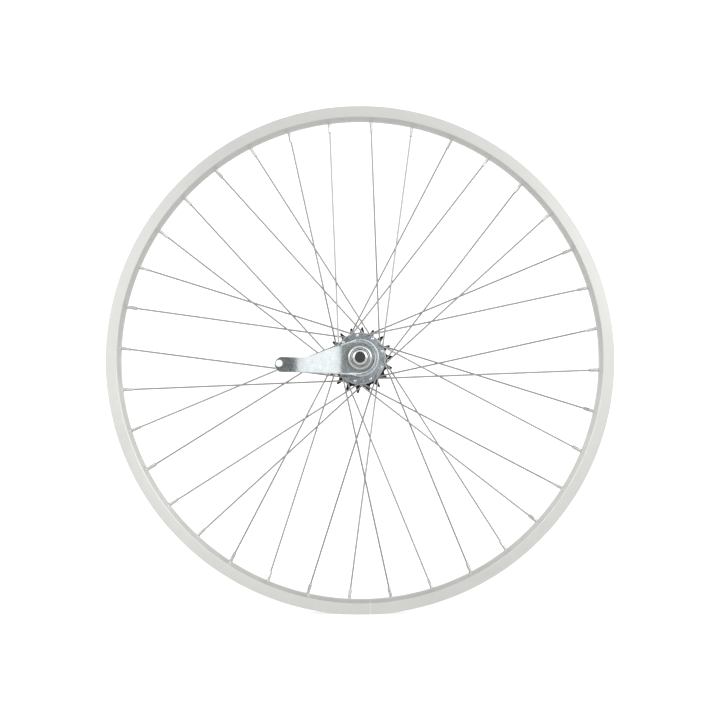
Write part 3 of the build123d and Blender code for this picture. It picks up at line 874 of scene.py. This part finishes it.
class WHEEL_OT_brake_arm(bpy.types.Operator):
    """Press the brake arm: a dished head, a sloping blade and a flat tip"""

    bl_idname = "wheel.brake_arm"
    bl_label = "Brake arm"

    # X and Z in millimetres, where the blade runs between the head's shoulders and the tip
    blade_top = (-24, 14.5), (-40, 8.7), (-54, 3.2), (-64, 0.6), (-76, 0.5)
    blade_foot = (-66, -17.3), (-43, -18.3), (-25, -18.9)
    shoulder = 113  # degrees from +X to where the blade leaves the head

    def smooth_through(self, points, steps=12):
        """A smooth line through points, without the last one."""
        padded = [points[0] * 2 - points[1]] + points + [points[-1] * 2 - points[-2]]
        line = []
        for a, b, c, d in zip(padded, padded[1:], padded[2:], padded[3:]):
            for k in range(steps):
                t = k / steps
                square, cube = (2 * a - 5 * b + 4 * c - d) * t**2, (3 * b - a - 3 * c + d) * t**3
                line.append(0.5 * (2 * b + (c - a) * t + square + cube))
        return line

    def outline(self, s):
        """The plate's outline in X and Z, anticlockwise from the lower side of the head."""
        def on(x, z, radius, angle):
            return Vector((radius * cos(radians(angle)) + x, radius * sin(radians(angle)) + z))

        head, tip = (0, 0, s.head_radius), (-s.tip_reach, -s.tip_drop, s.tip_radius)
        top, foot = ([Vector(p) * MM for p in line] for line in (self.blade_top, self.blade_foot))
        upper = self.smooth_through([on(*head, self.shoulder), *top, on(*tip, 90)])
        lower = self.smooth_through([on(*tip, 270), *foot, on(*head, -self.shoulder)])
        round_head = [on(*head, angle) for angle in range(1 - self.shoulder, self.shoulder, 2)]
        return round_head + upper + [on(*tip, angle) for angle in range(96, 265, 6)] + lower

    def lay_out(self, s, square_half):
        """Note the plate's outline, the directions inward from it and points all along its edge."""
        self.outer = self.outline(s)
        following, preceding = self.outer[1:] + self.outer[:1], self.outer[-1:] + self.outer[:-1]
        tangents = [(after - before).normalized() for before, after in zip(preceding, following)]
        self.inward = [Vector((-tangent.y, tangent.x)) for tangent in tangents]
        parts = 12
        self.edge_points = KDTree(parts * len(self.outer))
        for i, (here, there) in enumerate(zip(self.outer, following)):
            for k in range(parts):
                self.edge_points.insert((*here.lerp(there, k / parts), 0), parts * i + k)
        self.edge_points.balance()
        self.square_half = square_half

    def from_edge(self, p):
        """The nearest point of the plate's edge, and how far it is."""
        nearest, _, gap = self.edge_points.find((*p, 0))
        return nearest, gap

    def narrowing(self, s, p):
        """How wide the lip is, as a share of its width at the head's middle."""
        least, full_at = 0.24, 6 * MM
        return least + (1 - least) * ease(1 + (p.x - full_at) / (s.lip_neck + full_at))

    def lip_reach(self, s, p):
        """How far the lip and its foot reach in from the edge."""
        foot = 0.7 * MM
        return (s.lip_width + s.lip_wall + foot) * self.narrowing(s, p) if p.x > -s.lip_end else 0

    def clear_of_square(self, p):
        return max(abs(p.x), abs(p.y)) > self.square_half + 0.5 * MM

    def depth(self, s, floor_y, p):
        """Y of the plate's outer face."""
        def ramp(past, half):
            """How far a point lies past a bend, with the bend rounded over half its length."""
            return max(past, 0) if abs(past) > half else (past + half) ** 2 / (4 * half)

        past_root = ramp(-p.x - s.blade_start, s.root_bend)
        past_tip = ramp(-p.x - s.blade_end, s.tip_bend)
        part = (past_root - past_tip) / (s.blade_end - s.blade_start)
        y = floor_y - s.joggle * part - 4 * s.bow * part * (1 - part)
        strength = ease((p.x + s.lip_end) / s.lip_fade)
        if strength:
            nearest, gap = self.from_edge(p)
            gap /= self.narrowing(s, nearest)
            wall = min(gap - s.lip_width, s.lip_wall)
            down = s.lip_slope * ramp(wall, 0.4 * MM)
            down += (s.lip_height - s.lip_slope * s.lip_wall) * ease(wall / s.lip_wall * 2.3 - 1.3)
            down += 0.2 * max(s.lip_edge - gap, 0) ** 2 / s.lip_edge
            y -= strength * (s.lip_height - down)
        return y

    def lip_points(self, s, rows=19):
        """Rows of points that follow the lip round the head."""
        for k in range(1, rows + 1):
            for p, inward in zip(self.outer, self.inward):
                reach = s.edge + (self.lip_reach(s, p) - s.edge) * k / rows
                q = p + inward * reach
                follows = self.lip_reach(s, p) and self.from_edge(q)[1] > 0.97 * reach
                if follows and self.clear_of_square(q):
                    yield q

    def plate_points(self, s, hole_centre, edge_ring, pitch=1.0 * MM):
        """An even spread of points over the rest of the plate."""
        from_hole = s.hole_radius + 0.9 * MM
        columns = ceil((s.head_radius + s.tip_reach + s.tip_radius) / pitch)
        rows = ceil(2 * s.head_radius / pitch)
        for i in range(columns + 1):
            for j in range(rows + 1):
                p = Vector((s.head_radius - (i + 0.5 * (j % 2)) * pitch, (j - rows / 2) * pitch))
                if (p - hole_centre).length < from_hole or not self.clear_of_square(p):
                    continue
                nearest, gap = self.from_edge(p)
                if inside(p, edge_ring) and gap > max(self.lip_reach(s, nearest), s.edge) + 0.6 * pitch:
                    yield p

    def execute(self, context):
        s = context.scene.wheel_arm
        hub = context.scene.wheel_hub
        floor_y = hub.washer_height - hub.lock_width / 2
        half = s.square / 2
        self.lay_out(s, half)
        points, edges, drops = [], [], []

        def add_ring(ring, drop):
            start = len(points)
            points.extend(ring)
            drops.extend([drop] * len(ring))
            edges.extend((start + k, start + (k + 1) % len(ring)) for k in range(len(ring)))
            return list(range(start, start + len(ring)))

        def rounding(part, radius):
            return radius * (1 - sqrt(max(0.0, 1 - (1 - part) ** 2)))

        loops = []
        for part in (0, 0.3, 1.0):
            edge_ring = [p + inward * part * s.edge for p, inward in zip(self.outer, self.inward)]
            loops.append(add_ring(edge_ring, rounding(part, s.edge)))
        centre = Vector((-s.hole_reach, -s.hole_drop))
        turns = [Vector((cos(2 * pi * k / 56), sin(2 * pi * k / 56))) for k in range(56)]
        for part in (0, 0.3, 0.7):
            ring = [centre + (s.hole_radius + part * 0.5 * MM) * toward for toward in turns]
            loops.append(add_ring(ring, rounding(min(part / 0.7, 1), 0.35 * MM)))
        corners = [(half, half, MM), (-half, half, MM), (-half, -half, MM), (half, -half, MM)]
        loops.append(add_ring(eased(corners), 0.0))
        edge_loops = loops[0], loops[3], loops[6]
        plate, hole, square = ([points[k] for k in loop] for loop in edge_loops)
        points += [*self.lip_points(s), *self.plate_points(s, centre, edge_ring)]
        drops += [0.0] * (len(points) - len(drops))

        made, _, triangles, origin, _, _ = delaunay_2d_cdt(points, edges, [], 0, 1e-8)
        new_index = {old: k for k, source in enumerate(origin) for old in source}
        bm = bmesh.new()
        front, back = [], []
        for p, source in zip(made, origin):
            y, drop = self.depth(s, floor_y, p), max((drops[k] for k in source), default=0.0)
            front.append((p.x, y + drop, p.y))
            back.append((p.x, y + s.thickness - drop, p.y))
        front, back = ([bm.verts.new(p) for p in face] for face in (front, back))
        for triangle in triangles:
            middle = sum((Vector(made[k]) for k in triangle), Vector((0, 0))) / 3
            if inside(middle, plate) and not inside(middle, hole) and not inside(middle, square):
                bm.faces.new([front[k] for k in triangle])
                bm.faces.new([back[k] for k in reversed(triangle)])
        for loop in edge_loops:
            keys = [new_index[k] for k in loop]
            for a, b in zip(keys, keys[1:] + keys[:1]):
                bm.faces.new((front[a], front[b], back[b], back[a]))
        arm = finish_mesh("pressed_arm", bm, 50)
        colours = context.scene.wheel_finish
        # the last argument paints shade into the arm's recess round the washer
        finish = zinc_plate("arm zinc", colours.arm, colours.arm_shade, 420, 0.1, 0.000013, s.painted_shade_radius)
        dress(arm, finish, "base", "brake_arm", "brake_arm")
        return {"FINISHED"}


def hexagon_piece(name, low, high, across_flats, bore, chamfer):
    """A hexagon nut from y low to y high with chamfered corners."""
    flat = across_flats / 2
    corner = flat / cos(radians(30))
    segments, steps = 96, 5
    heights = [(low + chamfer * k / steps, k / steps) for k in range(steps + 1)]
    heights += [(high - chamfer * k / steps, k / steps) for k in range(steps, -1, -1)]
    bm = bmesh.new()
    rings = []
    for i in range(segments):
        angle = 2 * pi * i / segments
        reach = flat / cos((angle % (pi / 3)) - pi / 6)
        ring = [at(bore, angle, low)]
        for y, rise in heights:
            limit = flat * 0.97 + (corner - flat * 0.97) * rise
            ring.append(at(min(reach, limit), angle, y))
        rings.append(ring + [at(bore, angle, high)])
    join(bm, rings, True)
    return finish_mesh(name, bm, 25)


class WHEEL_OT_lock_hardware(bpy.types.Operator):
    """Turn the dished washer and the lock nuts, and finish the cones, the dust shield, the clutch, the
    driver, the snap ring and the shoes
    """

    bl_idname = "wheel.lock_hardware"
    bl_label = "Washer, nuts and cone"

    def execute(self, context):
        s = context.scene.wheel_hub
        colours = context.scene.wheel_finish
        polished = polished_steel("polished steel", colours.polished)
        face = s.lock_width / 2
        floor_y = s.washer_height - face
        bore = s.axle_radius + 0.03 * MM
        inner = s.lock_nut_radius + 0.2 * MM
        washer = turned_piece("dished_washer", [
            (inner, floor_y, 0),
            (s.washer_radius - 0.2 * MM, floor_y, 0.3 * MM),
            (s.washer_radius, floor_y - 1.2 * MM, 0.3 * MM),
            (s.washer_radius, 1.4 * MM - face, 0.5 * MM),
            (13.1 * MM, 0.5 * MM - face, 0.8 * MM),
            (12.0 * MM, -face - 0.02 * MM, 0.8 * MM),
            (11.4 * MM, 0.1 * MM - face, 0.3 * MM),
            (11.1 * MM, 2.0 * MM - face, 0.3 * MM),
            (10.6 * MM, 2.0 * MM - face, 0.2 * MM),
            (10.4 * MM, 0.5 * MM - face, 0.25 * MM),
            (9.8 * MM, 0.3 * MM - face, 0.25 * MM),
            (inner, 1.3 * MM - face, 0.1 * MM),
        ], crease=50)
        dress(washer, polished, "base", "hardware", "arm_washer")
        nut = turned_piece("domed_lock_nut", [
            (bore, floor_y, 0),
            (s.lock_nut_radius, floor_y, 0.2 * MM),
            (s.lock_nut_radius, 1.9 * MM - face, 0.3 * MM),
            (s.lock_nut_radius - 0.3 * MM, 1.35 * MM - face, 0.3 * MM),
            (6.5 * MM, 0.15 * MM - face, 0.5 * MM),
            (6.2 * MM, 0.1 * MM - face, 0.1 * MM),
            (bore, 0.3 * MM - face, 0.1 * MM),
        ], crease=50)
        dress(nut, polished, "base", "hardware", "lock_nut_left")
        low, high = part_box("lock_nut_right")
        nut = hexagon_piece("hexagon_lock_nut", low.y, high.y, 17 * MM, bore, 1.0 * MM)
        dress(nut, polished, "base", "hardware", "lock_nut_right")
        repaint(polished, "dust_cap_left", "right_cone")
        plain = plain_steel("oiled steel", colours.steel)
        repaint(plain, "brake_cone", "clutch", "driver", "snap_ring")
        bronze = cast_bronze("cast bronze", colours.bronze)
        repaint(bronze, "brake_shoe_top", "brake_shoe_bottom")
        return {"FINISHED"}


class WHEEL_OT_axle(bpy.types.Operator):
    """Cut the axle's threads and mould its two end caps"""

    bl_idname = "wheel.axle"
    bl_label = "Axle and caps"

    def execute(self, context):
        s = context.scene.wheel_hub
        colours = context.scene.wheel_finish
        half = s.axle_length / 2
        depth, run_out, end_bevel = 0.55 * MM, 0.6 * MM, 1.2 * MM
        steps = 48
        start = 44 * MM
        rows = ceil((half - start) / (s.thread_pitch / 8))
        stations = [-half + (half - start) * k / rows for k in range(rows + 1)]
        stations += [-start + run_out, start - run_out]
        stations += [start + (half - start) * k / rows for k in range(rows + 1)]
        bm = bmesh.new()
        rings = []
        for y in stations:
            ring = []
            for k in range(steps):
                angle = 2 * pi * k / steps
                phase = (y / s.thread_pitch + k / steps) % 1.0
                groove = depth * (1 - abs(2 * phase - 1)) if abs(y) >= start else depth
                groove = max(groove, end_bevel - (half - abs(y)))
                ring.append(at(s.axle_radius - groove, angle, y))
            rings.append(ring)
        skin(bm, rings)
        axle = finish_mesh("threaded_axle", bm, 40)
        dress(axle, plain_steel("axle steel", colours.steel), "base", "axle", "axle")
        plastic = moulded_plastic("moulded plastic", colours.plastic)
        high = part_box("axle_caps")[1]
        outer, end = high.x, high.y
        foot, bore = end - 13 * MM, s.axle_radius + 0.03 * MM
        bm = bmesh.new()
        for side in (LEFT, RIGHT):
            corners = [
                (0, side * (end - 0.25 * MM), 0),
                (2.4 * MM, side * (end - 0.25 * MM), 0.2 * MM),
                (2.8 * MM, side * end, 0.3 * MM),
                (outer, side * end, 0.9 * MM),
                (outer, side * foot, 0.3 * MM),
                (bore, side * foot, 0.2 * MM),
                (bore, side * half, 0),
                (0, side * half, 0),
            ]
            lathe(bm, eased(corners), 72)
        dress(finish_mesh("thread_caps", bm), plastic, "base", "axle_caps", "axle_caps")
        return {"FINISHED"}


class WHEEL_OT_sprocket(bpy.types.Operator):
    """Cut the sprocket's teeth and lugs"""

    bl_idname = "wheel.sprocket"
    bl_label = "Sprocket"

    def tooth_gap(self, s):
        """Half of a gap between two teeth, from its foot to the tip circle, as (radius, angle)."""
        half_tooth = pi / s.teeth
        pitch_radius = s.chain_pitch / 2 / sin(half_tooth)
        flank = s.flank
        line = []
        for k in range(7):
            swing = pi - (pi / 2 - flank) * k / 6
            x = pitch_radius + s.seat_radius * cos(swing)
            z = s.seat_radius * sin(swing)
            line.append((hypot(x, z), atan2(z, x)))
        x, z = pitch_radius - s.seat_radius * sin(flank), s.seat_radius * cos(flank)
        for k in range(1, 40):
            t = k * 0.2 * MM
            along_x, along_z = x + t * cos(flank), z + t * sin(flank)
            radius, angle = hypot(along_x, along_z), atan2(along_z, along_x)
            if radius > s.tip_radius or angle > half_tooth:
                break
            line.append((radius, angle))
        line.append((s.tip_radius, line[-1][1] + 0.15 * MM / s.tip_radius))
        line.append((s.tip_radius, half_tooth))
        return line

    def execute(self, context):
        s = context.scene.wheel_drive
        half_tooth = pi / s.teeth
        gap = self.tooth_gap(s)
        outline = []
        for i in range(s.teeth):
            middle = s.first_tooth + (2 * i + 1) * half_tooth
            outline += [(radius, middle - angle) for radius, angle in reversed(gap)]
            outline += [(radius, middle + angle) for radius, angle in gap[1:-1]]
        bore = s.bore_radius
        lug_half, lug_side, lug_height = 2.5 * MM / bore, 0.02, 1.45 * MM
        third = 2 * pi / 3

        def inner(angle):
            """Radius of the bore, with its three lugs."""
            past = (angle - s.first_tooth) % third
            near = min(past, third - past)
            return bore - lug_height * (1 - min(max((near - lug_half) / lug_side, 0), 1))

        left, right = s.chain_line - s.thickness / 2, s.chain_line + s.thickness / 2
        bevel, tooth_height = 0.75 * MM, 5.5 * MM
        foot = s.chain_pitch / 2 / sin(half_tooth) - s.seat_radius - 1.2 * MM
        levels = []
        for radius, angle in outline:
            tall = max(0.0, radius - (s.tip_radius - tooth_height)) / tooth_height
            reaches = inner(angle), min(foot, radius - 0.3 * MM), radius
            levels.append((reaches, angle, bevel * tall**1.5 + 0.12 * MM))
        faces = [(0, left, 0), (1, left, 0), (2, left, 1)]
        faces += [(k, right, -inwards) for k, _, inwards in reversed(faces)]
        bm = bmesh.new()
        rings = []
        for k, y, inwards in faces:
            rings.append([at(reaches[k], angle, y + inwards * taper) for reaches, angle, taper in levels])
        join(bm, rings, True)
        sprocket = finish_mesh("toothed_ring", bm, 30)
        finish = black_oxide("black oxide", context.scene.wheel_finish.black)
        dress(sprocket, finish, "drive", "sprocket", "sprocket")
        return {"FINISHED"}


class WHEEL_OT_stage(bpy.types.Operator):
    """Set the floor, the lamps, the surround and the camera"""

    bl_idname = "wheel.stage"
    bl_label = "Stage"

    def surround(self, s):
        """Bright side panels with a dark gap between them, and plain white where it is seen directly."""
        world = bpy.data.worlds.new("surround")
        bpy.context.scene.world = world
        world.use_nodes = True
        world.node_tree.nodes.clear()
        tree = Tree(world.node_tree)
        coords = tree.node("ShaderNodeTexCoord", {}).outputs["Generated"]
        parts = tree.node("ShaderNodeSeparateXYZ", {0: coords}).outputs
        aside = tree.math("ABSOLUTE", tree.math("ADD", parts["X"], sin(s.gap_turn)))
        steep = tree.math("ABSOLUTE", parts["Z"])
        gap_ends = sin(s.gap_half_width), sin(s.gap_half_width + s.gap_edge)
        side = tree.span(parts["X"], -0.25, 0.25, s.left, s.right, "SMOOTHSTEP")
        panels = tree.span(aside, *gap_ends, s.gap, side, "SMOOTHSTEP")
        open_gap = tree.span(steep, s.gap_height * 0.6, s.gap_height, panels, side, "SMOOTHSTEP")
        overhead = tree.span(parts["Z"], 0.8, 0.95, open_gap, s.above, "SMOOTHSTEP")
        around = tree.span(parts["Y"], -0.3, 0.3, overhead, s.behind, "SMOOTHSTEP")
        path = tree.node("ShaderNodeLightPath", {}).outputs
        seen = tree.span(path["Is Camera Ray"], 0, 1, around, 1, "SMOOTHSTEP")
        background = tree.node("ShaderNodeBackground", {"Color": (1, 1, 1), "Strength": seen})
        tree.node("ShaderNodeOutputWorld", {"Surface": background.outputs[0]})

    def lamp(self, name, power, place, width):
        light = bpy.data.lights.new(name, "AREA")
        light.size = width
        light.energy = power
        obj = bpy.data.objects.new(name, light)
        bpy.context.scene.collection.objects.link(obj)
        obj.location = place
        obj.rotation_euler = (-Vector(place)).to_track_quat("-Z", "Y").to_euler()

    def floor(self):
        """A pale floor that curves up behind the wheel."""
        level = CAD_BOX[0][2]
        reach, wall, top, bend = 6, 4, 5, 1.5
        bm = bmesh.new()
        line = eased([(-reach, level, 0), (wall, level, bend), (wall, top, 0)], closed=False, step=6)
        rows = [[bm.verts.new((x, y, z)) for x in (-reach, reach)] for y, z in line]
        for here, there in zip(rows, rows[1:]):
            bm.faces.new((here[0], here[1], there[1], there[0]))
        obj = finish_mesh("pale_floor", bm)
        f = Finish("pale floor", roughness=0.9, specular_ior_level=0.0)
        f.feed(f.shader.inputs["Base Color"], (0.8, 0.8, 0.8))
        f.feed(f.shader.inputs["Emission Color"], (1, 1, 1))
        path = f.node("ShaderNodeLightPath", {}).outputs
        f.feed(f.shader.inputs["Emission Strength"], f.math("MULTIPLY", path["Is Camera Ray"], 0.75))
        obj.data.materials.append(f.material)

    def execute(self, context):
        s = context.scene.wheel_stage
        self.surround(s)
        self.floor()
        for side, name in SIDE_NAMES.items():
            self.lamp(f"{name}_lamp", s.key, (side * 1.8, -1.2, 0.9), 1.4)
        camera = bpy.data.cameras.new("camera")
        camera.lens = s.lens
        camera.sensor_width = 36
        obj = bpy.data.objects.new("camera", camera)
        context.scene.collection.objects.link(obj)
        back = Vector((0, -cos(s.elevation), sin(s.elevation)))
        aim = Vector((-s.aim_left, 0, -s.aim_down))
        obj.location = aim + back * s.distance
        obj.rotation_euler = (-back).to_track_quat("-Z", "Y").to_euler()
        context.scene.camera = obj
        context.scene.view_settings.view_transform = "Standard"
        return {"FINISHED"}


class VIEW3D_PT_wheel(bpy.types.Panel):
    """Lists the operators that build the wheel"""

    bl_label = "Wheel"
    bl_space_type = "VIEW_3D"
    bl_region_type = "UI"
    bl_category = "Wheel"

    def draw(self, context):
        for piece in PIECES:
            self.layout.operator(piece.bl_idname)


GROUPS = {
    "wheel_rim": WheelRimSizes,
    "wheel_spokes": WheelSpokeSizes,
    "wheel_hub": WheelHubSizes,
    "wheel_arm": WheelArmSizes,
    "wheel_drive": WheelDriveSizes,
    "wheel_finish": WheelFinish,
    "wheel_stage": WheelStage,
}
PIECES = (
    WHEEL_OT_rim,
    WHEEL_OT_spokes,
    WHEEL_OT_nipples,
    WHEEL_OT_hub_shell,
    WHEEL_OT_brake_arm,
    WHEEL_OT_lock_hardware,
    WHEEL_OT_axle,
    WHEEL_OT_sprocket,
    WHEEL_OT_stage,
)


def register():
    for name, group in GROUPS.items():
        bpy.utils.register_class(group)
        setattr(bpy.types.Scene, name, bpy.props.PointerProperty(type=group))
    for piece in (*PIECES, VIEW3D_PT_wheel):
        bpy.utils.register_class(piece)


def unregister():
    for piece in (VIEW3D_PT_wheel, *reversed(PIECES)):
        bpy.utils.unregister_class(piece)
    for name, group in reversed(GROUPS.items()):
        delattr(bpy.types.Scene, name)
        bpy.utils.unregister_class(group)


def main():
    register()
    for piece in PIECES:
        group, name = piece.bl_idname.split(".")
        getattr(getattr(bpy.ops, group), name)()


if __name__ == "__main__":
    main()
